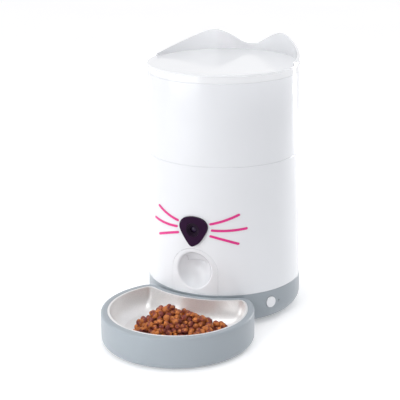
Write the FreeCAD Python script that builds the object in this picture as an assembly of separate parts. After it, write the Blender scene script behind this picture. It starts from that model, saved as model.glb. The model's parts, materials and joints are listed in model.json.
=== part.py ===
import FreeCAD, Part
import math
import os

# Automatic pet feeder, in millimetres.
# A slightly tapered drum stands on a grey base. Its lid carries two cat ears. A nose shaped window holds
# the camera, an arched cover with a round scoop lets the food out, and a crescent bowl hugs the base.
# The drum's axis is X = 0, Y = 0 while building, the front is -Y and the floor is Z = 0.
# Everything is moved along Y at the end, so that the feeder is centred over its own footprint.

V = FreeCAD.Vector
UP = V(0, 0, 1)
ALONG_X = V(1, 0, 0)
ALONG_Y = V(0, 1, 0)
NODES = {}

# ---- drum and levels ----
TOP_R = 95.0             # drum radius where the lid starts
TOP_Z = 318.0
TAPER = 4.0 / 274.0      # radius gained for each millimetre down
FOOT_H = 1.5
BASE_TOP = 42.0
HOUSING_TOP = 207.0
HOPPER_TOP = 309.0
WALL = 2.6
SEAM = 0.5               # chamfer that draws each seam

# ---- lid ----
LID_FACE_Z = 319.8
PLATE_UNDER = 316.8
BEAD_R = 1.4
BEAD_CENTRE_R = 94.6
SKIRT_IN_R = 92.7
EAR_OUT_R = 95.3
EAR_WALL = 3.0
EAR_LINE = ((0, 327.4), (10, 328.8), (20, 334.4), (32, 340.8), (46, 345.4), (56, 344.0),
            (66, 339.6), (76, 334.3), (85, 329.4), (91, 325.0), (95.5, 319.0))
LINER_R = 84.4
LINER_IN_R = 82.0
LINER_DISC_Z = 314.4
LINER_LOW = 299.0
SEAL_Z = (302.5, 306.5)
SEAL_GROOVE_R = 83.2
SEAL_R = 85.55

# ---- desiccant cup under the lid ----
CUP_R = 21.8
CUP_IN_R = 20.0
CUP_FLANGE_R = 27.0
CUP_LOW = 300.0
CAP_R = 24.0
CAP_IN_R = 22.15
CAP_LOW = 296.4
CAP_HIGH = 306.0
SACHET_R = 18.0

# ---- hopper and food tank ----
LEDGE_Z = 296.0
LEDGE_R = 89.2
TANK_R = 88.0
TANK_WALL = 2.0
TANK_TOP = 307.5
TANK_FLANGE_T = 2.2
FUNNEL_TOP = 240.0
FUNNEL_LOW = 206.0
NECK_R = 40.0
NECK_LOW = 194.0

# ---- metering chamber and drive ----
DECK_Z = (200.0, 203.0)
DECK_HOLE_R = 46.0
CHAMBER_R = 46.0
CHAMBER_IN_R = 44.0
CHAMBER_FLOOR = (148.0, 150.0)
CHAMBER_FLANGE_R = 54.0
OUTLET = (15.0, -43.0, -19.0)      # half width, front and back of the opening in the chamber floor
SHAFT_R = 4.0
RUNNING_GAP = 0.05
BUSH_R = 6.0
VANES = 6
VANE_R = 43.2
VANE_T = 3.0
ROTOR_Z = (151.0, 190.0)
ROTOR_HUB_R = 11.0
ARM_REACH = 31.0
MODULE = 1.25
GEAR_TEETH = 18
PINION_TEETH = 10
GEAR_Z = (132.0, 138.0)
PINION_Z = (131.0, 139.0)
PINION_Y = MODULE * (GEAR_TEETH + PINION_TEETH) / 2
MOTOR_R = 15.0
MOTOR_SHAFT_R = 1.5
CASE_Z = (126.0, 128.5)            # bottom of the gear case and the top of its floor
CASE_HALF = 17.0
CASE_Y = (-16.0, 30.0)
CASE_WALL = 2.0
MOTOR_LOW = 86.0
MOTOR_SHAFT_Z = (122.0, 140.0)
FREE_END = 0.5                     # space left past the end of a shaft
HUB_R = 7.0
HUB_H = 7.0
ARM_W = 3.5
ARM_H = 3.0
TIP_H = 11.0

# ---- chute, arched cover and scoop ----
ARCH_HALF = 30.7
ARCH_CENTRE_Z = 70.8
ARCH_GAP = 0.25
SCOOP_Z = 73.0
SCOOP_Y = -104.0
SCOOP_R = 24.2
SCOOP_WALL = 2.0
MOUTH_ROUND = 2.6
CHUTE_WALL = 1.5                   # level thickness of the sloping walls
DROP_WALL = 1.1
DROP = (-92.9, -78.5)              # front and back of the upright drop behind the scoop
DROP_BENDS = (101.2, 98.5)         # heights where its front and back start to slope
DROP_LOW = 78.0
FLAP_HINGE = (-91.0, 99.0)         # Y and Z of the hinge line
FLAP_HALF = 12.6
FLAP_REACH = 19.4                  # from the hinge line to the free edge
FLAP_FRONT = 0.7                   # set back from the hinge line
FLAP_GAP = 0.4
FLAP_BULGE_R = 22.67               # the flap's back is a sphere of its own, so it thins toward the hinge
FLAP_BULGE_BACK = 3.5
KNUCKLE_X = 9.2                    # the flap's two knuckles run from here to its ends
KNUCKLE_R = 1.7
# side view of the rib at each end of the flap, from the hinge line
RIB = ((0, 1.4), (8.0, -7.0), (8.0, -18.0), (5.4, -18.0), (5.4, -6.4), (2.2, -1.1), (0, -1.4))
RIB_T = 2.0
SPRING_X = (4.4, 8.8)
SPRING_R = 1.35
SPRING_WIRE_R = 0.3
SPRING_TURNS = 7
PIN_R = 0.9
PIN_FREE = 0.06

# ---- nose, camera and whiskers ----
NOSE_Z = 126.5
NOSE_PROUD = 2.8
NOSE_HALF = ((7.6, 109.9), (14.4, 119.6), (18.7, 131.0), (14.6, 139.2), (6.2, 142.7))
NOSE_TIP_Z = 105.2
NOSE_BROW_Z = 143.4
NOSE_FREE = 0.15
NOSE_RIM = 2.0                     # flange that holds the window from behind
NOSE_RIM_T = 1.8
FACE_Z = (95.0, 160.0)             # band of the wall that the nose and whiskers lie in
LENS_HOLE_R = 9.0
BEZEL_R = 8.9
BEZEL_SET_BACK = 0.3
BEZEL_STEPS = ((7.8, 1.3), (6.2, 2.5), (4.5, 20.0))    # rings down to the lens: radius and depth
BARREL_R = 4.45
BARREL_BACK = -91.0
LENS_R = 6.2
LENS_DEPTH = 3.2
MODULE_NECK_R = 4.3
MODULE_Y = (-88.0, -80.0)
MODULE_HALF = 8.0
CAMERA_BOARD = (17.0, 1.6, 118.0, 145.0)    # half width, thickness, bottom and top
BRACKET = (40.0, 2.0, 120.0, 134.0)         # half width, thickness, bottom and top
BRACKET_ARM = 4.0
LED_R = 2.5
LED_FRONT = -91.5
LED_AT = (12.5, 6.5)               # sideways and up from the lens
# each whisker: inner end, middle and outer end as (arc along the wall, height)
WHISKERS = {
    "top": ((22.2, 135.2), (38.6, 139.8), (56.8, 147.0)),
    "middle": ((24.0, 127.2), (44.5, 127.2), (66.5, 129.1)),
    "bottom": ((22.2, 119.7), (38.8, 115.4), (56.3, 110.0)),
}
WHISKER_W = 3.0
WHISKER_PROUD = 0.6

# ---- base ----
BASE_R = 99.3
BASE_ROUND = 18.0
FLANGE_R = 84.0
FLANGE_T = 2.4
MID_DECK_R = 90.0
MID_DECK_T = 3.0
PLATE_R = 81.25
PLATE_TOP = 4.1
BUTTON_ANGLE = 58.9
BUTTON_Z = 26.8
BUTTON_R = 7.0
BUTTON_HOLE_R = 7.35
BUTTON_PROUD = 2.2
BUTTON_DOME_R = 30.0
BUTTON_FLANGE_R = 8.6
BUTTON_FLANGE_T = 3.0
BUTTON_GAP = 0.6                   # between its flange and the wall
SWITCH_GAP = 1.4                   # between its flange and the switch
SWITCH_HALF = 3.0
RESET_ANGLE = 67.0
RESET_Z = 25.5
RESET_HOLE_R = 1.0
RESET_FRONT = 92.0
RESET_HALF = (1.8, 2.5)
BOARD_ANGLE = 61.5
BOARD_HALF = 15.0
BOARD_R = (84.0, 85.6)
BOARD_Z = (9.0, 38.0)
SCREW_ANGLES = (35, 145, 215, 325)
SCREW_RING = 76.0
SCREW_R = 1.5
SCREW_HEAD_R = 3.0
SCREW_HEAD_Z = (1.8, 3.0)
SCREW_TIP_Z = 17.5
POST_R = 4.5
WEB_T = 3.0
FOOT_R = 6.0
FOOT_SPOT = 46.7
CELL_R = 16.6
CELL_LEN = 61.5
CELL_PITCH = 34.4
CELL_Z = 22.5
CELL_FRONT = -26.0
TRAY_HALF = 54.0
TRAY_WALL = 1.6
TRAY_TOP = 40.8
CONTACT_T = 1.5
CONTACT_Z = (14.0, 31.0)
BAY = (47.0, -24.0, 34.0)          # battery hole in the plate: half width, front and back
BAY_EDGE = 5.0                     # ledge around it, under the cover
COVER_FREE = 0.3
COVER_Z = (1.7, 3.1)
COVER_SCREW_AT = (49.5, 5.0)
COVER_SCREW_R = 1.0
COVER_SCREW_HEAD_R = 1.9
COVER_SCREW_HEAD_H = 0.8
INLET_Z = 24.0
INLET_HOLE_R = 3.4
INLET_HALF = (5.5, 6.0)
INLET_FRONT = 84.0
SOCKET_R = 2.75
SOCKET_PIN_R = 1.0
TONGUE = (19.0, -120.0, -82.0, 3.0, 7.6)    # half width, front, back, bottom and top
TONGUE_SLOT = 0.3                  # space around the tongue in the holder, twice this in the base

# ---- electronics on the middle deck ----
CABLE_HOLE = (9.0, 48.0)           # radius and Y of the hole through the deck
MAIN_BOARD = (38.0, 62.0, 63.6, 118.0)      # half width, front, back and top
WIFI = (-12.0, 8.0, 60.0, 85.0, 110.0)      # left, right, front, bottom and top
SPEAKER_AT = (-48.0, 8.0)
SPEAKER_STEPS = ((20.0, 3.0), (14.0, 10.0))     # radius and height of its rim and of its back

# ---- bowl ----
BOWL_Y = -147.3
BOWL_R = 93.5
BOWL_BACK_R = 101.5
BOWL_TOP = 41.0
BOWL_HORN = 18.0
BOWL_EDGE = 3.0
BOWL_FOOT_ROUND = 8.0
BOWL_RIM_IN = 7.8
BOWL_HOLE_IN = 9.6
BOWL_SEAT_Z = 39.6
BOWL_SEAT_T = 2.4
INSERT_FREE = 0.3
BOWL_CORNER_MIN = 6.0
INSERT_T = 0.8
# inside wall of the steel bowl: height and distance in from the holder's outline
INSERT_CURVE = ((40.8, 10.7), (34.0, 11.3), (27.0, 12.9), (21.0, 15.8), (16.6, 20.6), (14.0, 27.0))
BOWL_FEET = ((-55, -150), (55, -150), (0, -222))

AXIS_Y = (BOWL_R - BOWL_Y - BASE_R) / 2
FRONT = -120.0           # a plane clear of the drum's front, and one between it and the drum's axis
MIDWAY = -60.0


# ---- helpers ----
def wall_r(z):
    return TOP_R + TAPER * (TOP_Z - z)


def box(x0, x1, y0, y1, z0, z1):
    return Part.makeBox(x1 - x0, y1 - y0, z1 - z0, V(x0, y0, z0))


def cyl(r, z0, z1, x=0.0, y=0.0):
    return Part.makeCylinder(r, z1 - z0, V(x, y, z0), UP)


def rod_y(r, y0, y1, z, x=0.0):
    return Part.makeCylinder(r, y1 - y0, V(x, y0, z), ALONG_Y)


def revolve(points, axis=UP, origin=V(0, 0, 0)):
    """Turn a closed outline of (radius, height) corners about the drum's axis."""
    corners = [V(r, 0, z) for r, z in points]
    face = Part.Face(Part.makePolygon(corners + corners[:1]))
    return face.revolve(origin, axis, 360)


def prism(face_wire, y0, y1):
    """Carry an outline drawn in the XZ plane from y0 to y1."""
    wire = face_wire.copy()
    wire.translate(V(0, y0, 0))
    return Part.Face(wire).extrude(V(0, y1 - y0, 0))


def cone_solid(extra, z0, z1):
    """The drum's outer form grown by extra, between two heights."""
    return Part.makeCone(wall_r(z0) + extra, wall_r(z1) + extra, z1 - z0, V(0, 0, z0), UP)


def skin(inner, outer, z0, z1):
    """A layer that follows the drum's wall."""
    return cone_solid(outer, z0, z1).cut(cone_solid(inner, z0, z1))


def toward(angle, distance, z):
    """A point at an angle from the front, positive toward +X."""
    a = math.radians(angle)
    return V(distance * math.sin(a), -distance * math.cos(a), z)


def radial_rod(r, angle, z, r0, r1):
    return Part.makeCylinder(r, r1 - r0, toward(angle, r0, z), toward(angle, 1.0, 0))


def radial_box(angle, half_w, r0, r1, z0, z1):
    block = box(-half_w, half_w, -r1, -r0, z0, z1)
    block.rotate(V(0, 0, 0), UP, angle)
    return block


def single(shape):
    """The one solid of a boolean result, with split faces joined again."""
    solids = shape.Solids
    if len(solids) != 1:
        raise ValueError("expected one solid, found %d" % len(solids))
    return solids[0].removeSplitter()


def add(name, shape):
    NODES[name] = single(shape)


def add_group(name, shapes):
    """Identical pieces that share one node."""
    NODES[name] = Part.makeCompound([single(shape) for shape in shapes])


def crescent(inset, z):
    """Closed wire of the bowl's plan: a disc less the drum, with rounded horns."""
    outer = BOWL_R - inset
    inner = BOWL_BACK_R + inset
    round_r = max(BOWL_HORN - inset, BOWL_CORNER_MIN)
    to_outer = outer - round_r
    to_inner = inner + round_r
    y = (to_inner ** 2 - to_outer ** 2 + BOWL_Y ** 2) / (2 * BOWL_Y)
    x = math.sqrt(to_inner ** 2 - y ** 2)
    out_a = math.atan2(y - BOWL_Y, x)
    in_a = math.atan2(y, x)
    mid_a = (out_a + in_a + math.pi) / 2

    def on(cx, cy, r, a, side=1):
        return V(side * (cx + r * math.cos(a)), cy + r * math.sin(a), z)

    right_out = on(0, BOWL_Y, outer, out_a)
    right_in = on(0, 0, inner, in_a)
    left_out = on(0, BOWL_Y, outer, out_a, -1)
    left_in = on(0, 0, inner, in_a, -1)
    arcs = [
        Part.Arc(left_out, V(0, BOWL_Y - outer, z), right_out),
        Part.Arc(right_out, on(x, y, round_r, mid_a), right_in),
        Part.Arc(right_in, V(0, -inner, z), left_in),
        Part.Arc(left_in, on(x, y, round_r, mid_a, -1), left_out),
    ]
    return Part.Wire([arc.toShape() for arc in arcs])


def crescent_block(inset, z0, z1):
    return Part.Face(crescent(inset, z0)).extrude(V(0, 0, z1 - z0))


def edges_at(shape, z):
    return [e for e in shape.Edges if abs(e.BoundBox.ZMin - z) < 0.01 and abs(e.BoundBox.ZMax - z) < 0.01]


def gear(teeth, z0, z1, bore):
    """Spur gear with involute flanks, relieved a little for backlash."""
    pitch = MODULE * teeth / 2
    root = pitch - 1.2 * MODULE
    tip = pitch + MODULE
    pressure = math.radians(20)
    base = pitch * math.cos(pressure)
    backlash = 0.12 / pitch
    half_pitch = math.pi / (2 * teeth) - backlash
    inv_pitch = math.tan(pressure) - pressure

    def half_width(r):
        if r <= base:
            return half_pitch + inv_pitch
        a = math.acos(base / r)
        return half_pitch + inv_pitch - (math.tan(a) - a)

    radii = [root + (tip - root) * step / 6.0 for step in range(7)]
    corners = []
    for tooth in range(teeth):
        middle = 2 * math.pi * tooth / teeth
        for r in radii:
            corners.append((r, middle - half_width(r)))
        for r in reversed(radii):
            corners.append((r, middle + half_width(r)))
    points = [V(r * math.cos(a), r * math.sin(a), z0) for r, a in corners]
    blank = Part.Face(Part.makePolygon(points + points[:1])).extrude(V(0, 0, z1 - z0))
    return blank.cut(cyl(bore, z0 - 1, z1 + 1))


# ---- lid with cat ears ----
def ear_wall():
    """The thin wall over the back half whose top edge rises into two ears."""
    line = [V(-x, 0, z) for x, z in reversed(EAR_LINE[1:])] + [V(x, 0, z) for x, z in EAR_LINE]
    top = Part.BSplineCurve()
    top.interpolate(line)
    low = PLATE_UNDER + 0.5
    left, right = line[0], line[-1]
    wire = Part.Wire([
        top.toShape(),
        Part.makeLine(right, V(right.x, 0, low)),
        Part.makeLine(V(right.x, 0, low), V(left.x, 0, low)),
        Part.makeLine(V(left.x, 0, low), left),
    ])
    ring = cyl(EAR_OUT_R, low, TOP_Z + 40).cut(cyl(EAR_OUT_R - EAR_WALL, low, TOP_Z + 40))
    return ring.common(prism(wire, 0, TOP_R + 10))


def build_lid():
    low_z = LID_FACE_Z - BEAD_R - math.sqrt(BEAD_R ** 2 - (wall_r(PLATE_UNDER) - BEAD_CENTRE_R) ** 2)
    centre_z = LID_FACE_Z - BEAD_R
    bead = [(BEAD_CENTRE_R + BEAD_R * math.cos(a), centre_z + BEAD_R * math.sin(a))
            for a in [math.radians(d) for d in range(-60, 91, 15)]]
    outline = [(0, PLATE_UNDER), (SKIRT_IN_R, PLATE_UNDER), (SKIRT_IN_R, HOPPER_TOP),
               (wall_r(HOPPER_TOP) - SEAM, HOPPER_TOP), (wall_r(HOPPER_TOP + SEAM), HOPPER_TOP + SEAM),
               (wall_r(low_z), low_z)] + bead + [(0, LID_FACE_Z)]
    add("lid_shell", revolve(outline).fuse(ear_wall()))

    add("lid_liner", revolve([
        (0, LINER_DISC_Z), (LINER_IN_R, LINER_DISC_Z), (LINER_IN_R, LINER_LOW), (LINER_R, LINER_LOW),
        (LINER_R, SEAL_Z[0]), (SEAL_GROOVE_R, SEAL_Z[0]), (SEAL_GROOVE_R, SEAL_Z[1]),
        (LINER_R, SEAL_Z[1]), (LINER_R, PLATE_UNDER), (0, PLATE_UNDER)]))
    middle = sum(SEAL_Z) / 2
    add("lid_seal", revolve([
        (SEAL_GROOVE_R, SEAL_Z[0]), (LINER_R, SEAL_Z[0]), (SEAL_R, middle - 1.0), (SEAL_R, middle + 1.0),
        (LINER_R, SEAL_Z[1]), (SEAL_GROOVE_R, SEAL_Z[1])]))


def vent_holes(z0, z1, r, ring_r, count):
    holes = [cyl(r, z0, z1)]
    for ring, number in ((ring_r / 2, count // 2), (ring_r, count)):
        for i in range(number):
            a = 2 * math.pi * i / number
            holes.append(cyl(r, z0, z1, ring * math.cos(a), ring * math.sin(a)))
    return holes


def build_desiccant():
    floor = 1.5
    cup = revolve([
        (0, CUP_LOW), (CUP_R, CUP_LOW), (CUP_R, LINER_DISC_Z - 1.6), (CUP_FLANGE_R, LINER_DISC_Z - 1.6),
        (CUP_FLANGE_R, LINER_DISC_Z), (CUP_IN_R, LINER_DISC_Z), (CUP_IN_R, CUP_LOW + floor),
        (0, CUP_LOW + floor)])
    add("desiccant_cup", cup.cut(vent_holes(CUP_LOW - 1, CUP_LOW + 2, 1.5, 14.0, 12)))
    add("desiccant_sachet", cyl(SACHET_R, CUP_LOW + floor, CUP_LOW + 9.0))
    cap = revolve([
        (0, CAP_LOW), (CAP_R - 1, CAP_LOW), (CAP_R, CAP_LOW + 1), (CAP_R, CAP_HIGH), (CAP_IN_R, CAP_HIGH),
        (CAP_IN_R, CAP_LOW + 1.6), (0, CAP_LOW + 1.6)])
    grip = box(-1.5, 1.5, -CAP_R + 4, CAP_R - 4, CAP_LOW - 3, CAP_LOW + 0.5)
    slots = [box(x - 1.2, x + 1.2, -9, 9, CAP_LOW - 1, CAP_LOW + 2) for x in (-15, -10, -5, 5, 10, 15)]
    add("desiccant_cap", cap.cut(slots).fuse(grip))


# ---- lift-off hopper ----
def build_hopper():
    def inner(z):
        return (wall_r(z) - WALL, z)

    add("hopper_shell", revolve([
        (wall_r(HOUSING_TOP) - SEAM, HOUSING_TOP), (wall_r(HOUSING_TOP + SEAM), HOUSING_TOP + SEAM),
        (wall_r(HOPPER_TOP - SEAM), HOPPER_TOP - SEAM), (wall_r(HOPPER_TOP) - SEAM, HOPPER_TOP),
        inner(HOPPER_TOP), inner(LEDGE_Z), (LEDGE_R, LEDGE_Z), (LEDGE_R, LEDGE_Z - 2), inner(LEDGE_Z - 6),
        inner(HOUSING_TOP + 2.4), (82.0, HOUSING_TOP + 2.4), (82.0, HOUSING_TOP)]))
    inside = TANK_R - TANK_WALL
    flange_r = wall_r(LEDGE_Z) - WALL - 0.3
    add("food_tank", revolve([
        (NECK_R - TANK_WALL, NECK_LOW), (NECK_R, NECK_LOW), (NECK_R, FUNNEL_LOW), (TANK_R, FUNNEL_TOP),
        (TANK_R, LEDGE_Z), (flange_r, LEDGE_Z), (flange_r, LEDGE_Z + TANK_FLANGE_T),
        (TANK_R, LEDGE_Z + TANK_FLANGE_T), (TANK_R, TANK_TOP), (inside, TANK_TOP),
        (inside, FUNNEL_TOP + 0.9), (NECK_R - TANK_WALL, FUNNEL_LOW + 0.9)]))


# ---- housing wall with the nose and arch openings ----
def nose_outline(grow=0.0):
    """Rounded triangle with bulging sides, grown about the lens."""
    def point(x, z):
        reach = math.hypot(x, z - NOSE_Z)
        k = (reach + grow) / reach
        return V(x * k, 0, NOSE_Z + (z - NOSE_Z) * k)

    right = [point(x, z) for x, z in NOSE_HALF]
    left = [V(-p.x, 0, p.z) for p in reversed(right)]
    curve = Part.BSplineCurve()
    curve.interpolate([point(0, NOSE_TIP_Z)] + right + [point(0, NOSE_BROW_Z)] + left, PeriodicFlag=True)
    return Part.Wire([curve.toShape()])


def arch_outline(grow, low):
    half = ARCH_HALF + grow
    left, right = V(-half, 0, ARCH_CENTRE_Z), V(half, 0, ARCH_CENTRE_Z)
    return Part.Wire([
        Part.Arc(left, V(0, 0, ARCH_CENTRE_Z + half), right).toShape(),
        Part.makeLine(right, V(half, 0, low)),
        Part.makeLine(V(half, 0, low), V(-half, 0, low)),
        Part.makeLine(V(-half, 0, low), left),
    ])


def build_housing():
    def inner(z):
        return (wall_r(z) - WALL, z)

    ledge = DECK_Z[0]
    shell = revolve([
        (wall_r(BASE_TOP) - SEAM, BASE_TOP), (wall_r(BASE_TOP + SEAM), BASE_TOP + SEAM),
        (wall_r(HOUSING_TOP - SEAM), HOUSING_TOP - SEAM), (wall_r(HOUSING_TOP) - SEAM, HOUSING_TOP),
        inner(HOUSING_TOP), inner(ledge), (90.5, ledge), (90.5, ledge - 2), inner(ledge - 6),
        inner(BASE_TOP + FLANGE_T), (FLANGE_R, BASE_TOP + FLANGE_T), (FLANGE_R, BASE_TOP)])
    shell = shell.cut(prism(nose_outline(NOSE_FREE), FRONT, MIDWAY))
    shell = shell.cut(prism(arch_outline(ARCH_GAP, BASE_TOP - 5), FRONT, MIDWAY))
    add("housing_shell", shell)
    deck_r = wall_r(DECK_Z[1]) - WALL - 0.1
    add("hopper_deck", cyl(deck_r, *DECK_Z).cut(cyl(DECK_HOLE_R, DECK_Z[0] - 1, DECK_Z[1] + 1)))
    mid = cyl(MID_DECK_R, BASE_TOP + FLANGE_T, BASE_TOP + FLANGE_T + MID_DECK_T)
    add("mid_deck", mid.cut(cyl(CABLE_HOLE[0], BASE_TOP, NECK_LOW, 0, CABLE_HOLE[1])))


def build_face():
    """Nose window, camera behind it and the six whiskers."""
    plug = prism(nose_outline(), FRONT, MIDWAY).common(skin(-WALL, NOSE_PROUD, *FACE_Z))
    rim = prism(nose_outline(NOSE_RIM), FRONT, MIDWAY).common(skin(-WALL - NOSE_RIM_T, -WALL, *FACE_Z))
    add("nose_window", plug.fuse(rim).cut(rod_y(LENS_HOLE_R, FRONT, MIDWAY, NOSE_Z)))

    front = -(wall_r(NOSE_Z) + NOSE_PROUD)
    module_front, module_back = MODULE_Y
    bezel = rod_y(BEZEL_R, front + BEZEL_SET_BACK, module_front, NOSE_Z)
    for radius, depth in BEZEL_STEPS:
        bezel = bezel.cut(rod_y(radius, front - 1, front + depth, NOSE_Z))
    add("camera_bezel", bezel)
    dome = Part.makeSphere(LENS_R, V(0, front + LENS_DEPTH + LENS_R, NOSE_Z))
    stem = rod_y(LENS_R, front + LENS_DEPTH + LENS_R, BARREL_BACK, NOSE_Z)
    add("camera_lens", rod_y(BARREL_R, front, BARREL_BACK, NOSE_Z).common(dome.fuse(stem)))
    neck = rod_y(MODULE_NECK_R, BARREL_BACK, module_front, NOSE_Z)
    can_low, can_high = NOSE_Z - MODULE_HALF, NOSE_Z + MODULE_HALF
    can = box(-MODULE_HALF, MODULE_HALF, module_front, module_back, can_low, can_high)
    add("camera_module", neck.fuse(can))
    board_half, board_t, board_low, board_high = CAMERA_BOARD
    board_back = module_back + board_t
    add("camera_board", box(-board_half, board_half, module_back, board_back, board_low, board_high))
    half, thick, low, high = BRACKET
    plate = box(-half, half, board_back, board_back + thick, low, high)
    arms = [box(x, x + BRACKET_ARM, -wall_r(low), board_back + thick, low, high)
            for x in (-half, half - BRACKET_ARM)]
    add("camera_bracket", plate.fuse(arms).common(cone_solid(-WALL, *FACE_Z)))
    sideways, up = LED_AT
    add_group("night_leds", [rod_y(LED_R, LED_FRONT, module_back, NOSE_Z + up, x)
                             for x in (-sideways, sideways)])

    layer = skin(0, WHISKER_PROUD, *FACE_Z)
    for name, line in WHISKERS.items():
        for side, sign in (("left", -1), ("right", 1)):
            points = [V(sign * wall_r(z) * math.sin(arc / wall_r(z)), 0, z) for arc, z in line]
            add("whisker_%s_%s" % (side, name), layer.common(whisker_block(points)))


def whisker_block(points):
    """A stroke with round ends through three points, carried through the front wall."""
    start, middle, end = points
    sweep = [start, middle, end]
    spine = Part.Arc(*sweep).toShape().discretize(9)
    half = WHISKER_W / 2
    upper, lower = [], []
    for i, p in enumerate(spine):
        ahead = spine[min(i + 1, len(spine) - 1)] - spine[max(i - 1, 0)]
        normal = V(-ahead.z, 0, ahead.x).normalize() * half
        upper.append(p + normal)
        lower.append(p - normal)
    reach = half * (spine[1] - spine[0]).normalize()
    lower.reverse()
    top = Part.BSplineCurve()
    top.interpolate(upper)
    low = Part.BSplineCurve()
    low.interpolate(lower)
    end_reach = half * (spine[-1] - spine[-2]).normalize()
    wire = Part.Wire([
        top.toShape(), Part.Arc(upper[-1], spine[-1] + end_reach, lower[0]).toShape(),
        low.toShape(), Part.Arc(lower[-1], spine[0] - reach, upper[0]).toShape()])
    return prism(wire, FRONT, 0)


# ---- arched cover, chute and flap ----
def coil(x0, x1):
    """Close-wound torsion spring on the flap's hinge line: one ridge for each turn."""
    pitch = (x1 - x0) / SPRING_TURNS
    valley = SPRING_R + SPRING_WIRE_R / 3
    edges = []
    for k in range(SPRING_TURNS):
        start = x0 + k * pitch
        edges.append(Part.Arc(V(start, 0, valley), V(start + pitch / 2, 0, SPRING_R + SPRING_WIRE_R),
                              V(start + pitch, 0, valley)).toShape())
    inner = SPRING_R - SPRING_WIRE_R
    back = Part.makePolygon([V(x1, 0, valley), V(x1, 0, inner), V(x0, 0, inner), V(x0, 0, valley)])
    turns = Part.Face(Part.Wire(edges + back.Edges)).revolve(V(0, 0, 0), ALONG_X, 360)
    turns.translate(V(0, *FLAP_HINGE))
    return turns


def scoop_ball(extra):
    return Part.makeSphere(SCOOP_R + extra, V(0, SCOOP_Y, SCOOP_Z))


def rounded_mouth(cover):
    """The cover with the edge between its face and the scoop rounded over."""
    centre = V(0, SCOOP_Y, SCOOP_Z)
    mouth = []
    for edge in cover.Edges:
        points = edge.discretize(5)
        on_ball = all(abs((p - centre).Length - SCOOP_R) < 0.02 for p in points)
        on_face = all(abs(math.hypot(p.x, p.y) - wall_r(p.z)) < 0.02 for p in points)
        if on_ball and on_face:
            mouth.append(edge)
    return cover.makeFillet(MOUTH_ROUND, mouth)


def hinge_rod(r, x0, x1):
    return Part.makeCylinder(r, x1 - x0, V(x0, *FLAP_HINGE), ALONG_X)


def flap_space(extra, front):
    """Everything the flap could fill: within its reach of the hinge line, and behind a front edge."""
    half = FLAP_HALF + extra
    hinge_y = FLAP_HINGE[0]
    behind = box(-half, half, hinge_y + front, 0, 0, BASE_TOP + 90)
    return hinge_rod(FLAP_REACH + extra, -half, half).common(behind)


def chute_block(half, slope_wall, wall):
    """The chute's side profile, grown by its walls and carried across its width."""
    half_width, front, back = OUTLET
    top_z = CHAMBER_FLOOR[0]
    drop_front, drop_back = DROP
    corners = [V(-half, front - slope_wall, top_z), V(-half, drop_front - wall, DROP_BENDS[0]),
               V(-half, drop_front - wall, DROP_LOW - wall), V(-half, drop_back + wall, DROP_LOW - wall),
               V(-half, drop_back + wall, DROP_BENDS[1]), V(-half, back + slope_wall, top_z)]
    return Part.Face(Part.makePolygon(corners + corners[:1])).extrude(V(2 * half, 0, 0))


def flap_rib(x0):
    hinge_y, hinge_z = FLAP_HINGE
    corners = [V(x0, hinge_y + y, hinge_z + z) for y, z in RIB]
    rib = Part.Face(Part.makePolygon(corners + corners[:1])).extrude(V(RIB_T, 0, 0))
    return rib.cut(scoop_ball(DROP_WALL / 3))


def build_outlet():
    inside_wall = cone_solid(0, BASE_TOP, 120)
    panel = prism(arch_outline(0, BASE_TOP), FRONT, MIDWAY).common(skin(-WALL, 0, BASE_TOP, 120))
    cup = scoop_ball(SCOOP_WALL).common(inside_wall)
    cover = rounded_mouth(single(panel.fuse(cup).cut(scoop_ball(0))))
    add("chute_cover", cover.cut(flap_space(FLAP_GAP, 0)))

    half = OUTLET[0]
    duct = chute_block(half + DROP_WALL, CHUTE_WALL, DROP_WALL).cut(chute_block(half, 0, 0))
    duct = duct.cut(scoop_ball(SCOOP_WALL))
    reach = half + DROP_WALL
    add("chute_duct", duct.cut(hinge_rod(PIN_R + PIN_FREE, -reach, reach)))

    bulge = Part.makeSphere(FLAP_BULGE_R, V(0, SCOOP_Y + FLAP_BULGE_BACK, SCOOP_Z))
    plate = bulge.cut(scoop_ball(0)).common(flap_space(0, FLAP_FRONT))
    knuckles = [hinge_rod(KNUCKLE_R, -FLAP_HALF, -KNUCKLE_X), hinge_rod(KNUCKLE_R, KNUCKLE_X, FLAP_HALF)]
    ribs = [flap_rib(-FLAP_HALF), flap_rib(FLAP_HALF - RIB_T)]
    add("outlet_flap", plate.fuse(knuckles + ribs).cut(hinge_rod(PIN_R, -reach, reach)))
    add("flap_spring", coil(*SPRING_X))
    pin_half = half + DROP_WALL / 2
    add("flap_pin", hinge_rod(PIN_R, -pin_half, pin_half))


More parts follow.
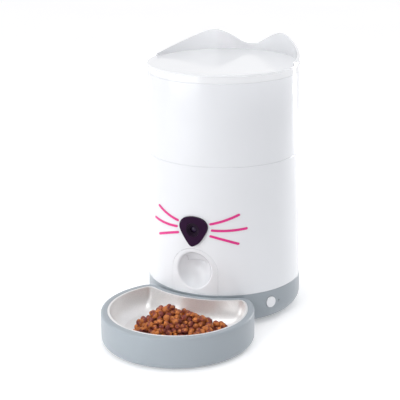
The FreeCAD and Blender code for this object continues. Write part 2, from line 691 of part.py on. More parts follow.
# ---- metering chamber, rotor and drive ----
def build_metering():
    half, front, back = OUTLET
    low, floor = CHAMBER_FLOOR
    flange_low = DECK_Z[0] - CASE_WALL
    chamber = revolve([
        (BUSH_R, low), (CHAMBER_R, low), (CHAMBER_R, flange_low), (CHAMBER_FLANGE_R, flange_low),
        (CHAMBER_FLANGE_R, DECK_Z[0]), (CHAMBER_IN_R, DECK_Z[0]), (CHAMBER_IN_R, floor), (BUSH_R, floor)])
    add("metering_chamber", chamber.cut(box(-half, half, front, back, low - 1, floor + 1)))
    shaft_bore = cyl(SHAFT_R + RUNNING_GAP, 0, TOP_Z)
    add("shaft_bush", cyl(BUSH_R, low - 3 * FREE_END, floor + FREE_END).cut(shaft_bore))

    shaft = cyl(SHAFT_R, CASE_Z[0] + FREE_END, ROTOR_Z[1] + HUB_H + ARM_H)
    add("rotor_shaft", shaft)
    hub = cyl(ROTOR_HUB_R, *ROTOR_Z)
    vanes = []
    for i in range(VANES):
        vane = box(ROTOR_HUB_R - 1, VANE_R, -VANE_T / 2, VANE_T / 2, *ROTOR_Z)
        vane.rotate(V(0, 0, 0), UP, 360.0 * i / VANES)
        vanes.append(vane)
    rotor = hub.fuse(vanes).common(cyl(VANE_R, *ROTOR_Z))
    add("rotor", rotor.cut(shaft))
    top = ROTOR_Z[1]
    arm = box(-ARM_REACH, ARM_REACH, -ARM_W / 2, ARM_W / 2, top + ARM_H, top + 2 * ARM_H)
    tips = [box(x, x + ARM_H, -ARM_W / 2, ARM_W / 2, top + ARM_H, top + ARM_H + TIP_H)
            for x in (-ARM_REACH, ARM_REACH - ARM_H)]
    add("agitator", cyl(HUB_R, top, top + HUB_H).fuse([arm] + tips).cut(shaft))

    # a tooth of the gear points at the pinion, and the pinion shows it a gap
    wheel = gear(GEAR_TEETH, GEAR_Z[0], GEAR_Z[1], SHAFT_R)
    wheel.rotate(V(0, 0, 0), UP, 90.0)
    add("rotor_gear", wheel)
    pinion = gear(PINION_TEETH, PINION_Z[0], PINION_Z[1], MOTOR_SHAFT_R)
    pinion.rotate(V(0, 0, 0), UP, 270.0 + 180.0 / PINION_TEETH)
    pinion.translate(V(0, PINION_Y, 0))
    add("drive_pinion", pinion)
    shaft_low, shaft_high = MOTOR_SHAFT_Z
    add("motor_shaft", cyl(MOTOR_SHAFT_R, shaft_low, shaft_high, 0, PINION_Y))

    case_low, case_floor = CASE_Z
    case_front, case_back = CASE_Y
    inner_half = CASE_HALF - CASE_WALL
    motor_bore = cyl(MOTOR_SHAFT_R + RUNNING_GAP, shaft_low - FREE_END, shaft_high, 0, PINION_Y)
    outer = box(-CASE_HALF, CASE_HALF, case_front, case_back, case_low, low)
    room = box(-inner_half, inner_half, case_front + CASE_WALL, case_back - CASE_WALL, case_floor, low + 1)
    add("gear_case", outer.cut([room, shaft_bore, motor_bore]))
    add("gear_motor", cyl(MOTOR_R, MOTOR_LOW, case_low, 0, PINION_Y).cut(motor_bore))


# ---- electronics on the middle deck ----
def build_electronics():
    deck = BASE_TOP + FLANGE_T + MID_DECK_T
    half, front, back, top = MAIN_BOARD
    add("main_board", box(-half, half, front, back, deck, top))
    left, right, wifi_front, low, high = WIFI
    add("wifi_module", box(left, right, wifi_front, front, low, high))
    (rim_r, rim_h), (back_r, back_h) = SPEAKER_STEPS
    speaker = revolve([(0, deck), (rim_r, deck), (rim_r, deck + rim_h),
                       (back_r, deck + back_h), (0, deck + back_h)])
    speaker.translate(V(*SPEAKER_AT, 0))
    add("speaker", speaker)


# ---- grey base ----
def base_solid(inset, bottom):
    """The base's outer form, inset evenly."""
    r = BASE_R - inset
    top_r = wall_r(BASE_TOP) - inset
    bend = BASE_ROUND - inset
    centre_r = BASE_R - BASE_ROUND
    centre_z = FOOT_H + BASE_ROUND
    a = math.radians(45)
    arc = Part.Arc(V(centre_r, 0, bottom), V(centre_r + bend * math.cos(a), 0, centre_z - bend * math.sin(a)),
                   V(r, 0, centre_z)).toShape()
    wire = Part.Wire([
        Part.makeLine(V(0, 0, bottom), V(centre_r, 0, bottom)), arc,
        Part.makeLine(V(r, 0, centre_z), V(top_r, 0, BASE_TOP)),
        Part.makeLine(V(top_r, 0, BASE_TOP), V(0, 0, BASE_TOP)),
        Part.makeLine(V(0, 0, BASE_TOP), V(0, 0, bottom))])
    return Part.Face(wire).revolve(V(0, 0, 0), UP, 360)


def build_base():
    outer = base_solid(0, FOOT_H)
    inner = base_solid(WALL, PLATE_TOP)
    flange_low = BASE_TOP - FLANGE_T
    shell = outer.cut(inner.common(cyl(BASE_R, 0, flange_low)))
    shell = shell.cut([cyl(BASE_R - BASE_ROUND, 0, PLATE_TOP + 0.01), cyl(FLANGE_R, 30, BASE_TOP + 1)])
    edge = skin(-SEAM, 5, BASE_TOP - SEAM, BASE_TOP + 1)
    shell = shell.cut(edge.common(seam_wedge()))
    within = base_solid(WALL - 0.5, FOOT_H + 0.5)
    posts = []
    holes = []
    for angle in SCREW_ANGLES:
        spot = toward(angle, SCREW_RING, 0)
        web = radial_box(angle, WEB_T / 2, SCREW_RING + 2, BASE_R - 0.5, PLATE_TOP, flange_low + 0.5)
        posts.append(cyl(POST_R, PLATE_TOP, flange_low, spot.x, spot.y).fuse(web.common(within)))
        holes.append(cyl(SCREW_R, PLATE_TOP - 1, SCREW_TIP_Z + FREE_END, spot.x, spot.y))
    half, front, back, low, high = TONGUE
    free = 2 * TONGUE_SLOT
    holes.append(box(-half - free, half + free, -BASE_R, back + 2, -1, high + FREE_END))
    holes.append(radial_rod(BUTTON_HOLE_R, BUTTON_ANGLE, BUTTON_Z, INLET_FRONT, BASE_R))
    holes.append(radial_rod(RESET_HOLE_R, RESET_ANGLE, RESET_Z, INLET_FRONT, BASE_R))
    holes.append(rod_y(INLET_HOLE_R, INLET_FRONT, BASE_R, INLET_Z))
    add("base_shell", shell.fuse(posts).cut(holes))


def seam_wedge():
    """A ring of triangular section that leaves a chamfer on the base's top edge."""
    r = wall_r(BASE_TOP)
    return revolve([(r - SEAM, BASE_TOP), (r + 2, BASE_TOP), (r + 2, BASE_TOP - SEAM - 2)])


def build_underside():
    plate = cyl(PLATE_R, FOOT_H, PLATE_TOP)
    bay_half, bay_front, bay_back = BAY
    cover_low, cover_high = COVER_Z
    screw_low, screw_high = SCREW_HEAD_Z

    def around_bay(grow, z0, z1):
        return box(-bay_half - grow, bay_half + grow, bay_front - grow, bay_back + grow, z0, z1)

    cuts = [around_bay(0, 0, PLATE_TOP), around_bay(BAY_EDGE, 0, cover_high)]
    screws = []
    for angle in SCREW_ANGLES:
        spot = toward(angle, SCREW_RING, 0)
        cuts.append(cyl(SCREW_R, 0, PLATE_TOP, spot.x, spot.y))
        cuts.append(cyl(SCREW_HEAD_R + 0.2, 0, screw_high, spot.x, spot.y))
        head = cyl(SCREW_HEAD_R, screw_low, screw_high, spot.x, spot.y)
        screws.append(head.fuse(cyl(SCREW_R, screw_high, SCREW_TIP_Z, spot.x, spot.y)))
    add_group("base_screws", screws)
    cover = around_bay(BAY_EDGE - COVER_FREE, cover_low, cover_high)
    cover_screws = []
    screw_x, screw_y = COVER_SCREW_AT
    for x in (-screw_x, screw_x):
        hole = cyl(COVER_SCREW_R, 0, PLATE_TOP, x, screw_y)
        cuts.append(hole)
        cover = cover.cut(hole)
        head = cyl(COVER_SCREW_HEAD_R, cover_low - COVER_SCREW_HEAD_H, cover_low, x, screw_y)
        cover_screws.append(head.fuse(cyl(COVER_SCREW_R, cover_low, PLATE_TOP, x, screw_y)))
    add_group("cover_screws", cover_screws)
    add("battery_cover", cover)
    add("base_plate", plate.cut(cuts))

    back = CELL_FRONT + CELL_LEN
    inner_half = TRAY_HALF - TRAY_WALL
    reach = CONTACT_T + TRAY_WALL
    tray = box(-TRAY_HALF, TRAY_HALF, CELL_FRONT - reach, back + reach, PLATE_TOP, TRAY_TOP)
    room = box(-inner_half, inner_half, CELL_FRONT - CONTACT_T, back + CONTACT_T, 0, TRAY_TOP - TRAY_WALL)
    add("battery_tray", tray.cut(room))
    add_group("battery_contacts", [box(-inner_half, inner_half, y, y + CONTACT_T, *CONTACT_Z)
                                   for y in (CELL_FRONT - CONTACT_T, back)])
    add_group("battery_cells", [rod_y(CELL_R, CELL_FRONT, back, CELL_Z, i * CELL_PITCH) for i in (-1, 0, 1)])
    corners = [(x * FOOT_SPOT, y * FOOT_SPOT) for x in (-1, 1) for y in (-1, 1)]
    add_group("base_feet", [cyl(FOOT_R, 0, FOOT_H, x, y) for x, y in corners])


def board_block(near, half_w, half_h):
    """A switch that stands on the front of the control board and reaches out to a point."""
    block = box(near.x - half_w, near.x + half_w, near.y, -BOARD_R[1], near.z - half_h, near.z + half_h)
    block.rotate(V(0, 0, 0), UP, BOARD_ANGLE)
    return block


def build_controls():
    add("control_board", radial_box(BOARD_ANGLE, BOARD_HALF, *BOARD_R, *BOARD_Z))
    flange_front = wall_r(BASE_TOP) - WALL - BUTTON_GAP
    flange_back = flange_front - BUTTON_FLANGE_T
    front = wall_r(BASE_TOP) + BUTTON_PROUD
    cap = radial_rod(BUTTON_R, BUTTON_ANGLE, BUTTON_Z, flange_back, front)
    cap = cap.common(Part.makeSphere(BUTTON_DOME_R, toward(BUTTON_ANGLE, front - BUTTON_DOME_R, BUTTON_Z)))
    flange = radial_rod(BUTTON_FLANGE_R, BUTTON_ANGLE, BUTTON_Z, flange_back, flange_front)
    add("feed_button", cap.fuse(flange))
    feed = toward(BUTTON_ANGLE - BOARD_ANGLE, flange_back - SWITCH_GAP, BUTTON_Z)
    add("feed_switch", board_block(feed, SWITCH_HALF, SWITCH_HALF))
    reset = toward(RESET_ANGLE - BOARD_ANGLE, RESET_FRONT, RESET_Z)
    add("reset_switch", board_block(reset, *RESET_HALF))
    half_w, half_h = INLET_HALF
    body = box(-half_w, half_w, INLET_FRONT, BASE_R, INLET_Z - half_h, INLET_Z + half_h)
    body = body.common(base_solid(WALL, PLATE_TOP))
    pin = rod_y(SOCKET_PIN_R, INLET_FRONT + 1, INLET_FRONT + 10, INLET_Z)
    add("power_inlet", body.cut(rod_y(SOCKET_R, INLET_FRONT + 2, BASE_R, INLET_Z)).fuse(pin))


# ---- crescent bowl ----
def build_bowl():
    block = crescent_block(0, FOOT_H, BOWL_TOP)
    block = block.makeFillet(BOWL_EDGE, edges_at(block, BOWL_TOP))
    block = block.makeFillet(BOWL_FOOT_ROUND, edges_at(block, FOOT_H))
    under = BOWL_SEAT_Z - BOWL_SEAT_T
    hollow = crescent_block(WALL, PLATE_TOP, under)
    hollow = hollow.makeFillet(BOWL_FOOT_ROUND - WALL, edges_at(hollow, PLATE_TOP))
    half, front, back, low, high = TONGUE
    free = TONGUE_SLOT
    slot = box(-half - free, half + free, front, back, low - free, high + free)
    mouth = crescent_block(BOWL_HOLE_IN, under - 1, BOWL_TOP + 1)
    seat = crescent_block(BOWL_RIM_IN, BOWL_SEAT_Z, BOWL_TOP + 1)
    floor = crescent_block(BOWL_FOOT_ROUND, 0, PLATE_TOP + FREE_END)
    add("bowl_holder", block.cut([hollow, floor, mouth, seat, slot]))
    tongue = box(-half, half, front, back, low, high)
    add("bowl_base", crescent_block(BOWL_FOOT_ROUND + RUNNING_GAP, FOOT_H, PLATE_TOP).fuse(tongue))
    add_group("bowl_feet", [cyl(FOOT_R, 0, FOOT_H, x, y) for x, y in BOWL_FEET])


def build_insert():
    """Pressed steel bowl: a rolled rim and a wall that curves into the floor."""
    outside = [crescent(inset - INSERT_T, z - (INSERT_T if i else 0))
               for i, (z, inset) in enumerate(INSERT_CURVE)]
    inside = [crescent(inset, z) for z, inset in INSERT_CURVE]
    cup = Part.makeLoft(outside, True, False)
    room = Part.makeLoft(inside, True, False)
    rim = crescent_block(BOWL_RIM_IN + INSERT_FREE, BOWL_SEAT_Z, INSERT_CURVE[0][0])
    add("bowl_insert", rim.fuse(cup).cut(room))


build_lid()
build_desiccant()
build_hopper()
build_housing()
build_face()
build_outlet()
build_metering()
build_electronics()
build_base()
build_underside()
build_controls()
build_bowl()
build_insert()

os.makedirs("parts", exist_ok=True)
for name, shape in NODES.items():
    placed = shape.copy()
    placed.translate(V(0, AXIS_Y, 0))
    placed.exportStep("parts/%s.step" % name)
print(len(NODES), "nodes")
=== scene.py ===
import json
import math
import random

import bmesh
import bpy
from mathutils import Euler, Matrix, Vector


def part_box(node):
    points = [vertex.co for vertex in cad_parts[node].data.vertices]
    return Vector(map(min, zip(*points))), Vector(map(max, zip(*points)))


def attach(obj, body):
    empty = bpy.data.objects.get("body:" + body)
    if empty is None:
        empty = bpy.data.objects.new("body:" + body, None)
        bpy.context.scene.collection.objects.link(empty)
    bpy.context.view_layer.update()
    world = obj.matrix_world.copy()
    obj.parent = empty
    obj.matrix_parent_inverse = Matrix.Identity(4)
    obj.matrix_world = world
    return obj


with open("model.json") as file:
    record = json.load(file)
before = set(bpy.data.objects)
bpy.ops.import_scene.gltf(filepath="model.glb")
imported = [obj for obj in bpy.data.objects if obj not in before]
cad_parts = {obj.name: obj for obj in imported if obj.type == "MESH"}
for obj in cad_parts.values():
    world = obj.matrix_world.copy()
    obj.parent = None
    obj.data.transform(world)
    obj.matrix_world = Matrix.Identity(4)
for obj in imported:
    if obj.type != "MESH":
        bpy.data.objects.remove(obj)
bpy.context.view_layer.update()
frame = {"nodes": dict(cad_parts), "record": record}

# ---- places read from the frame, in metres ----
drum_low, drum_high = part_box("housing_shell")
AXIS = Vector(((drum_low.x + drum_high.x) / 2, (drum_low.y + drum_high.y) / 2, 0))
holder_low, holder_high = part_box("bowl_holder")
BOWL_R = (holder_high.x - holder_low.x) / 2
BOWL_CENTRE = Vector(((holder_low.x + holder_high.x) / 2, holder_low.y + BOWL_R, 0))
STEEL_THICK = 0.0008
BOWL_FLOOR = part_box("bowl_insert")[0].z + STEEL_THICK

# ---- camera ----
CAMERA_AZIMUTH = 0.3952      # radians round from the front, toward +X
CAMERA_DISTANCE = 1.4778     # from the drum's axis
CAMERA_HEIGHT = 0.5879
CAMERA_PITCH = 0.2962
CAMERA_YAW = -0.0212
CAMERA_ROLL = 0.0093
LENS = 106.77                # millimetres, on a sensor of the width below
SENSOR = 36.0

# ---- lights: watts, size, degrees round from the camera, height, distance from the axis, ----
# ---- target, spread in degrees, and whether reflections show it ----
LIGHTS = {
    "key": (4.3, (1.3, 0.5), -60, 0.3, 1.3, AXIS + Vector((0, 0, 0.15)), 180, True),
    "ears": (0.012, (0.12, 0.08), 28, 0.55, 1.2, AXIS + Vector((-0.04, 0.06, 0.345)), 8, False),
    "bowl": (0.024, (0.2, 0.15), -25, 0.45, 0.9, BOWL_CENTRE + Vector((0, 0.02, 0.03)), 14, False),
    "top": (4.5, (0.8, 0.8), -10, 1.7, 0.25, Vector((0, 0, 0)), 180, True),
    "rim": (4.2, (0.2, 0.9), 132, 0.35, 1.2, AXIS + Vector((0, 0, 0.18)), 180, True),
}

# ---- materials ----
NOISE_LOW = 0.3              # the part of a noise's range that is used
NOISE_HIGH = 0.7
CLOUD_SCALE = 28             # cloudiness of plastic
SMUDGE_SCALE = 60            # where its roughness wanders
POLISH_SCALE = 20            # where a metal's roughness wanders
PLASTIC_WANDER = 0.06        # how far, as a share of the roughness
METAL_WANDER = 0.08
METAL_TONES = (0.95, 1.04)   # darkest and lightest line in a metal
TRACK_SCALE = 160.0
TRACK_GAP = 0.03
TRACK_DEPTH = 0.00003
# a ramp for the painted shade in the pores of a kibble and one for its crust: two colours, and where
# each holds
PORE_SHADE_RAMP = ((0.15, 0.026, 0.026), (0.50, 0.14, 0.03), 0.42, 0.56)
CRUST_RAMP = ((0.27, 0.06, 0.04), (0.66, 0.24, 0.06), 0.44, 0.58)
CRUMB_DEPTH = 0.0006
MIX_SHARE, MIX_A, MIX_B = 0, 6, 7    # sockets of a Mix node that blends colours
MIX_RESULT = 2

# ---- studio ----
# direction as a share of a full turn from -X, counter-clockwise, and brightness
RING = ((0.0, 0.85), (0.12, 0.85), (0.22, 0.6), (0.32, 0.26),
        (0.5, 0.1), (0.57, 0.8), (0.8, 0.95), (1.0, 0.85))
RING_BLUE = 1.02             # the ring's blue against its red and green
DOME = (0.88, 0.88, 0.89, 1)
DOME_START = 0.35            # height of a direction where the ring starts to turn into the dome
DOME_FULL = 0.8
WHITE = (1, 1, 1, 1)
FLOOR_HALF = 6.0

# ---- kibble ----
KIBBLE_SEED = 7
KIBBLE_R = 0.0036
KIBBLE_COUNT = 330
KIBBLE_SIZES = (0.86, 1.12)  # smallest and largest, as a share of KIBBLE_R
# the two heaps: middle from the bowl's centre, and spread; then the share of pellets in each
HEAPS = (((-0.012, -0.012), (0.013, 0.014)), ((0.030, -0.004), (0.018, 0.015)))
HEAP_SHARES = (0.6, 0.4)
HEAP_INSET = 0.018           # least distance in from the bowl's outline
HEAP_LEFT = -0.044           # nothing lies further to the left of the bowl's centre
HEAP_TOP = 0.03
PACKING = 0.93               # distance of touching pellets, as a share of their radii together
ROLL_TRIES = 40
ROLL_STEP = 0.002
ROLL_DROP = 0.0002           # least drop that makes a pellet roll
PELLET_SHAPES = 8
PELLET_LUMPS = 7
LUMP_SIZES = (-0.16, 0.14)
LUMP_POWER = 4
PELLET_FLATNESS = 0.78
PELLET_SWELL = 1.08          # drawn size against the size used in the pile

# ---- steel bowl ----
BOWL_BACK_R = 0.1015         # the holder's back outline, round the drum's axis
OUTSIDE_BOWL = 1.0           # height given to a spot that is in the bowl's wall
# height above the bowl's floor, and distance in from the holder's outline
BOWL_CURVE = ((0.0268, 0.0107), (0.02, 0.0113), (0.013, 0.0129),
              (0.007, 0.0158), (0.0026, 0.0206), (0.0, 0.027))


def add_object(name, data):
    made = bpy.data.objects.new(name, data)
    bpy.context.scene.collection.objects.link(made)
    return made


# ---- material nodes ----
def add_node(tree, kind, **values):
    """A new node with its settings, or the values of its inputs, named with _ for a space."""
    node = tree.nodes.new(kind)
    for key, value in values.items():
        if hasattr(node, key):
            setattr(node, key, value)
        else:
            node.inputs[key.replace("_", " ")].default_value = value
    return node


class Nodes:
    """A material and its node tree, built a node at a time."""

    def __init__(self, name):
        self.material = bpy.data.materials.new(name)
        self.material.use_nodes = True
        self.tree = self.material.node_tree
        self.shader = self.tree.nodes["Principled BSDF"]
        self.place = self.add("ShaderNodeTexCoord").outputs["Object"]

    def add(self, kind, **values):
        return add_node(self.tree, kind, **values)

    def link(self, out, into):
        self.tree.links.new(out, into)

    def drive(self, socket, out):
        """Let a node decide one of the shader's own values."""
        self.link(out, self.shader.inputs[socket])

    def noise(self, scale, detail=3.0, stretch=(1, 1, 1)):
        where = self.add("ShaderNodeMapping", Scale=stretch)
        self.link(self.place, where.inputs["Vector"])
        noise = self.add("ShaderNodeTexNoise", Scale=scale, Detail=detail)
        self.link(where.outputs["Vector"], noise.inputs["Vector"])
        return noise.outputs["Fac"]

    def ramp(self, value, low, high, start=0.35, end=0.65):
        ramp = self.add("ShaderNodeValToRGB")
        first, last = ramp.color_ramp.elements
        first.position, last.position = start, end
        first.color, last.color = (*low, 1), (*high, 1)
        self.link(value, ramp.inputs["Fac"])
        return ramp.outputs["Color"]

    def range(self, value, low, high):
        spread = self.add("ShaderNodeMapRange", From_Min=NOISE_LOW, From_Max=NOISE_HIGH,
                          To_Min=low, To_Max=high)
        self.link(value, spread.inputs["Value"])
        return spread.outputs["Result"]

    def wander(self, rough, share, value):
        """A roughness that varies by a share of itself."""
        self.drive("Roughness", self.range(value, rough * (1 - share), rough * (1 + share)))

    def bump(self, height, distance):
        bump = self.add("ShaderNodeBump", Distance=distance)
        self.link(height, bump.inputs["Height"])
        self.drive("Normal", bump.outputs["Normal"])

    def set(self, **values):
        for key, value in values.items():
            self.shader.inputs[key.replace("_", " ")].default_value = value


def shade(colour, factor):
    return tuple(min(1.0, c * factor) for c in colour)


def moulded(name, colour, rough, spread=0.04, grain=1400, depth=0.00002, **shader):
    """Moulded plastic or rubber: faint cloudiness, a fine skin and a roughness that wanders."""
    m = Nodes(name)
    cloud = m.noise(CLOUD_SCALE, 4)
    m.drive("Base Color", m.ramp(cloud, shade(colour, 1 - spread), shade(colour, 1 + spread)))
    m.wander(rough, PLASTIC_WANDER, m.noise(SMUDGE_SCALE, 3))
    m.bump(m.noise(grain, 2), depth)
    m.set(**shader)
    return m.material


def metal(name, colour, rough, stretch=(1, 1, 1), grain=900, depth=0.00001, **shader):
    """Bare metal with fine drawn or polished lines."""
    m = Nodes(name)
    lines = m.noise(grain, 3, stretch)
    m.drive("Base Color", m.ramp(lines, *(shade(colour, tone) for tone in METAL_TONES)))
    m.wander(rough, METAL_WANDER, m.noise(POLISH_SCALE, 1))
    m.bump(lines, depth)
    m.set(**{"Metallic": 1.0, **shader})
    return m.material


def board(name, colour):
    """Solder mask over copper tracks."""
    m = Nodes(name)
    tracks = m.add("ShaderNodeTexBrick", Scale=TRACK_SCALE, Mortar_Size=TRACK_GAP,
                   Color1=(*colour, 1), Color2=(*shade(colour, 0.8), 1),
                   Mortar=(*shade(colour, 2.2), 1))
    m.link(m.place, tracks.inputs["Vector"])
    m.drive("Base Color", tracks.outputs["Color"])
    m.drive("Roughness", m.range(m.noise(300, 2), 0.25, 0.4))
    m.bump(tracks.outputs["Fac"], TRACK_DEPTH)
    return m.material


def fleece(name, colour):
    """Matt paper felt."""
    m = Nodes(name)
    m.drive("Base Color", m.ramp(m.noise(900, 5), shade(colour, 0.85), colour))
    m.bump(m.noise(1500, 4), 0.0002)
    m.set(Roughness=0.9, Sheen_Weight=0.4)
    return m.material


def kibble_material():
    """Baked crumb: pellets differ in patches of their own colour, and each has painted shade in its
    pores, where the bump is low.
    """
    m = Nodes("kibble")
    patch = m.noise(130, 2)
    crumb = m.noise(900, 5)
    mix = m.add("ShaderNodeMix", data_type="RGBA")
    m.link(crumb, mix.inputs[MIX_SHARE])
    # the darker pore colour goes where the crumb noise, and so the bump, is low: painted shade in the
    # pores
    m.link(m.ramp(patch, *PORE_SHADE_RAMP), mix.inputs[MIX_A])
    m.link(m.ramp(patch, *CRUST_RAMP), mix.inputs[MIX_B])
    m.drive("Base Color", mix.outputs[MIX_RESULT])
    m.drive("Roughness", m.range(crumb, 0.5, 0.8))
    m.bump(crumb, CRUMB_DEPTH)
    return m.material


MOULDED = {
    "white_gloss": dict(colour=(0.80, 0.815, 0.845), rough=0.2, spread=0.004, grain=500,
                        depth=0.000004, Coat_Weight=0.5, Coat_Roughness=0.05),
    "white_inner": dict(colour=(0.78, 0.79, 0.80), rough=0.42, spread=0.02),
    "clear_tank": dict(colour=(0.80, 0.84, 0.88), rough=0.22, spread=0.01,
                       Transmission_Weight=0.35, IOR=1.49),
    "grey_plastic": dict(colour=(0.33, 0.37, 0.405), rough=0.34, spread=0.004, grain=900,
                         depth=0.000003),
    "nose_purple": dict(colour=(0.022, 0.004, 0.026), rough=0.35, spread=0.1,
                        Specular_IOR_Level=0.08),
    "camera_black": dict(colour=(0.012, 0.003, 0.015), rough=0.3, spread=0.2,
                         Specular_IOR_Level=0.12),
    "lens_glass": dict(colour=(0.025, 0.012, 0.04), rough=0.08, spread=0.2,
                       Specular_IOR_Level=0.3),
    "whisker_pink": dict(colour=(0.74, 0.02, 0.24), rough=0.3, spread=0.06),
    "button_white": dict(colour=(0.82, 0.835, 0.86), rough=0.2, spread=0.01, grain=500,
                         depth=0.000006),
    "rubber_dark": dict(colour=(0.02, 0.02, 0.022), rough=0.75, spread=0.2, grain=1800,
                        depth=0.00006),
    "silicone": dict(colour=(0.62, 0.63, 0.65), rough=0.5, spread=0.03, Subsurface_Weight=0.1),
    "part_black": dict(colour=(0.02, 0.02, 0.024), rough=0.5, spread=0.2, grain=1600,
                       depth=0.00004),
    "gear_plastic": dict(colour=(0.80, 0.77, 0.68), rough=0.4, spread=0.03),
    "cell_skin": dict(colour=(0.03, 0.035, 0.05), rough=0.25, spread=0.15),
}
METALS = {
    "bowl_steel": dict(colour=(0.86, 0.855, 0.85), rough=0.32, depth=0.000001, Metallic=0.55),
    "motor_steel": dict(colour=(0.60, 0.61, 0.62), rough=0.36, stretch=(1, 1, 12)),
    "bright_steel": dict(colour=(0.68, 0.68, 0.69), rough=0.24, stretch=(12, 1, 1)),
    "bronze": dict(colour=(0.55, 0.33, 0.13), rough=0.4),
}
# the lid's own copy of the white gloss: smoother and more polished, and lighter in colour, which is
# painted light on the lid
LID_POLISH_AND_PAINTED_LIGHT = dict(colour=(0.84, 0.85, 0.87), rough=0.05, spread=0.004, grain=500, depth=0.000001,
                  Coat_Weight=0.3, Coat_Roughness=0.02)


def dress_nodes():
    """Give every CAD node the material of its slot. The lid's shell gets a copy of the white gloss
    that is polished further and lighter in colour, and the lighter colour is painted light on the lid.
    """
    made = {name: moulded(name, **look) for name, look in MOULDED.items()}
    made.update({name: metal(name, **look) for name, look in METALS.items()})
    made["board_green"] = board("board_green", (0.012, 0.10, 0.04))
    made["sachet"] = fleece("sachet", (0.80, 0.80, 0.76))
    special = {"lid_shell": moulded("lid_polish_and_painted_light", **LID_POLISH_AND_PAINTED_LIGHT)}
    for part in frame["record"]["subparts"]:
        mesh = frame["nodes"][part["node"]].data
        mesh.materials.clear()
        mesh.materials.append(special.get(part["node"], made[part["material_slot"]]))


# ---- kibble ----
def inset_at(x, y):
    """How far in from the bowl's outline a point is."""
    to_outer = BOWL_R - math.hypot(x - BOWL_CENTRE.x, y - BOWL_CENTRE.y)
    to_back = math.hypot(x - AXIS.x, y - AXIS.y) - BOWL_BACK_R
    return min(to_outer, to_back)


def bowl_height(x, y):
    """Height of the steel above the bowl's floor."""
    inset = inset_at(x, y)
    if inset <= BOWL_CURVE[0][1]:
        return OUTSIDE_BOWL
    for (high, near), (low, far) in zip(BOWL_CURVE, BOWL_CURVE[1:]):
        if inset < far:
            return high + (low - high) * (inset - near) / (far - near)
    return 0.0


def rest_height(x, y, r, done):
    """Height at which a pellet dropped at a spot comes to rest."""
    z = bowl_height(x, y) + r
    for px, py, pz, pr in done:
        flat = (x - px) ** 2 + (y - py) ** 2
        reach = (r + pr) * PACKING
        if flat < reach * reach:
            z = max(z, pz + math.sqrt(reach * reach - flat))
    return z


def pile():
    """Drop the pellets one by one, let each roll to a lower spot, and return the generator too."""
    rng = random.Random(KIBBLE_SEED)
    done = []
    while len(done) < KIBBLE_COUNT:
        middle, spread = rng.choices(HEAPS, HEAP_SHARES)[0]
        x = BOWL_CENTRE.x + rng.gauss(middle[0], spread[0])
        y = BOWL_CENTRE.y + rng.gauss(middle[1], spread[1])
        r = KIBBLE_R * rng.uniform(*KIBBLE_SIZES)
        if inset_at(x, y) < HEAP_INSET or x < BOWL_CENTRE.x + HEAP_LEFT:
            continue
        z = rest_height(x, y, r, done)
        for _ in range(ROLL_TRIES):
            turn = rng.uniform(0, 2 * math.pi)
            nx, ny = x + ROLL_STEP * math.cos(turn), y + ROLL_STEP * math.sin(turn)
            nz = rest_height(nx, ny, r, done)
            if nz < z - ROLL_DROP:
                x, y, z = nx, ny, nz
        if z < HEAP_TOP:
            done.append((x, y, z, r))
    return done, rng


def pellet(rng):
    """One pellet: a lumpy rounded pillow of unit radius."""
    mesh = bmesh.new()
    bmesh.ops.create_icosphere(mesh, subdivisions=3, radius=1.0)
    lumps = []
    for _ in range(PELLET_LUMPS):
        way = Vector([rng.gauss(0, 1) for _ in range(3)]).normalized()
        lumps.append((way, rng.uniform(*LUMP_SIZES)))
    for v in mesh.verts:
        way = v.co.normalized()
        v.co = way * (1 + sum(size * max(0.0, way.dot(lump)) ** LUMP_POWER for lump, size in lumps))
        v.co.z *= PELLET_FLATNESS
    return mesh


def build_kibble():
    """The heap of food, as one mesh that rides on the steel insert."""
    spots, rng = pile()
    shapes = [pellet(rng) for _ in range(PELLET_SHAPES)]
    whole = bmesh.new()
    for x, y, z, r in spots:
        turn = Euler([rng.uniform(0, 2 * math.pi) for _ in range(3)]).to_matrix().to_4x4()
        scale = Matrix.Diagonal((r * PELLET_SWELL,) * 3 + (1,))
        place = Matrix.Translation((x, y, BOWL_FLOOR + z)) @ turn @ scale
        copy = rng.choice(shapes).copy()
        bmesh.ops.transform(copy, matrix=place, verts=copy.verts)
        mesh = bpy.data.meshes.new("pellet")
        copy.to_mesh(mesh)
        copy.free()
        whole.from_mesh(mesh)
        bpy.data.meshes.remove(mesh)
    mesh = bpy.data.meshes.new("kibble")
    whole.to_mesh(mesh)
    whole.free()
    mesh.polygons.foreach_set("use_smooth", [True] * len(mesh.polygons))
    mesh.materials.append(kibble_material())
    kibble = add_object("kibble", mesh)
    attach(kibble, "bowl_insert")


# ---- stage ----
def build_floor():
    mesh = bpy.data.meshes.new("floor")
    corners = [(x * FLOOR_HALF, y * FLOOR_HALF, 0) for x, y in ((-1, -1), (1, -1), (1, 1), (-1, 1))]
    mesh.from_pydata(corners, [], [(0, 1, 2, 3)])
    m = Nodes("floor")
    m.drive("Base Color", m.ramp(m.noise(3, 3), (0.90, 0.90, 0.905), (0.915, 0.915, 0.92)))
    m.set(Roughness=0.7, Specular_IOR_Level=0.1, Emission_Strength=0.25, Emission_Color=WHITE)
    mesh.materials.append(m.material)
    floor = add_object("floor", mesh)


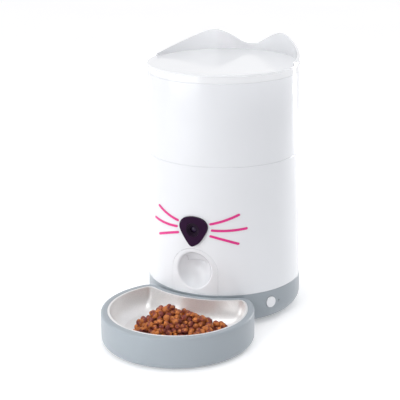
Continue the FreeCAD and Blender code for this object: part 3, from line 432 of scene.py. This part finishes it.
def build_world():
    """A studio bright on the left and behind, dim on the right. The camera itself sees plain white."""
    world = bpy.data.worlds.new("studio")
    world.use_nodes = True
    bpy.context.scene.world = world
    tree = world.node_tree
    tree.nodes.clear()
    link = tree.links.new

    place = add_node(tree, "ShaderNodeTexCoord")
    split = add_node(tree, "ShaderNodeSeparateXYZ")
    link(place.outputs["Generated"], split.inputs[0])

    angle = add_node(tree, "ShaderNodeMath", operation="ARCTAN2")
    link(split.outputs["Y"], angle.inputs[0])
    link(split.outputs["X"], angle.inputs[1])
    turn = add_node(tree, "ShaderNodeMath", operation="MULTIPLY_ADD")
    turn.inputs[1].default_value = 0.5 / math.pi
    turn.inputs[2].default_value = 0.5
    link(angle.outputs[0], turn.inputs[0])
    ring = add_node(tree, "ShaderNodeValToRGB")
    stops = ring.color_ramp.elements
    while len(stops) < len(RING):
        stops.new(0.5)
    for stop, (position, level) in zip(stops, RING):
        stop.position = position
        stop.color = (level, level, level * RING_BLUE, 1)
    link(turn.outputs[0], ring.inputs["Fac"])

    lift = add_node(tree, "ShaderNodeMapRange", interpolation_type="SMOOTHSTEP",
                    From_Min=DOME_START, From_Max=DOME_FULL)
    link(split.outputs["Z"], lift.inputs["Value"])
    dome = add_node(tree, "ShaderNodeMix", data_type="RGBA")
    dome.inputs[MIX_B].default_value = DOME
    link(lift.outputs["Result"], dome.inputs[MIX_SHARE])
    link(ring.outputs["Color"], dome.inputs[MIX_A])
    studio = add_node(tree, "ShaderNodeBackground")
    link(dome.outputs[MIX_RESULT], studio.inputs["Color"])

    plain = add_node(tree, "ShaderNodeBackground", Color=WHITE)
    seen = add_node(tree, "ShaderNodeLightPath")
    mix = add_node(tree, "ShaderNodeMixShader")
    link(seen.outputs["Is Camera Ray"], mix.inputs[0])
    link(studio.outputs[0], mix.inputs[1])
    link(plain.outputs[0], mix.inputs[2])
    out = add_node(tree, "ShaderNodeOutputWorld")
    link(mix.outputs[0], out.inputs["Surface"])


def camera_frame():
    """The camera's right, up and backward directions, before the turn round the drum's axis."""
    across = Vector((math.cos(CAMERA_YAW), -math.sin(CAMERA_YAW), 0))
    ahead = Vector((math.sin(CAMERA_YAW), math.cos(CAMERA_YAW), 0))
    up = Vector((0, 0, 1))
    depth = math.cos(CAMERA_PITCH) * ahead - math.sin(CAMERA_PITCH) * up
    high = math.sin(CAMERA_PITCH) * ahead + math.cos(CAMERA_PITCH) * up
    right = math.cos(CAMERA_ROLL) * across - math.sin(CAMERA_ROLL) * high
    top = math.sin(CAMERA_ROLL) * across + math.cos(CAMERA_ROLL) * high
    return right, top, -depth


def build_camera():
    data = bpy.data.cameras.new("camera")
    data.sensor_width = SENSOR
    data.lens = LENS
    camera = add_object("camera", data)
    right, top, back = camera_frame()
    spin = Matrix.Rotation(CAMERA_AZIMUTH, 4, "Z")
    local = Matrix((right, top, back)).transposed().to_4x4()
    local.translation = Vector((0, -CAMERA_DISTANCE, CAMERA_HEIGHT))
    camera.matrix_world = Matrix.Translation(AXIS) @ spin @ local
    bpy.context.scene.camera = camera


def area_light(name, power, size, azimuth, height, distance, target, spread, glossy):
    """A soft box at an angle round from the camera, toward +X, that faces a target."""
    data = bpy.data.lights.new(name, "AREA")
    data.energy = power
    data.shape = "RECTANGLE"
    data.size, data.size_y = size
    data.spread = math.radians(spread)
    light = add_object(name, data)
    turn = CAMERA_AZIMUTH + math.radians(azimuth)
    light.location = AXIS + Vector((distance * math.sin(turn), -distance * math.cos(turn), height))
    light.rotation_mode = "QUATERNION"
    light.rotation_quaternion = (target - light.location).to_track_quat("-Z", "Y")
    light.visible_glossy = glossy


bpy.context.scene.view_settings.view_transform = "Standard"
dress_nodes()
build_kibble()
build_floor()
build_world()
build_camera()
for light_name, light_values in LIGHTS.items():
    area_light(light_name, *light_values)
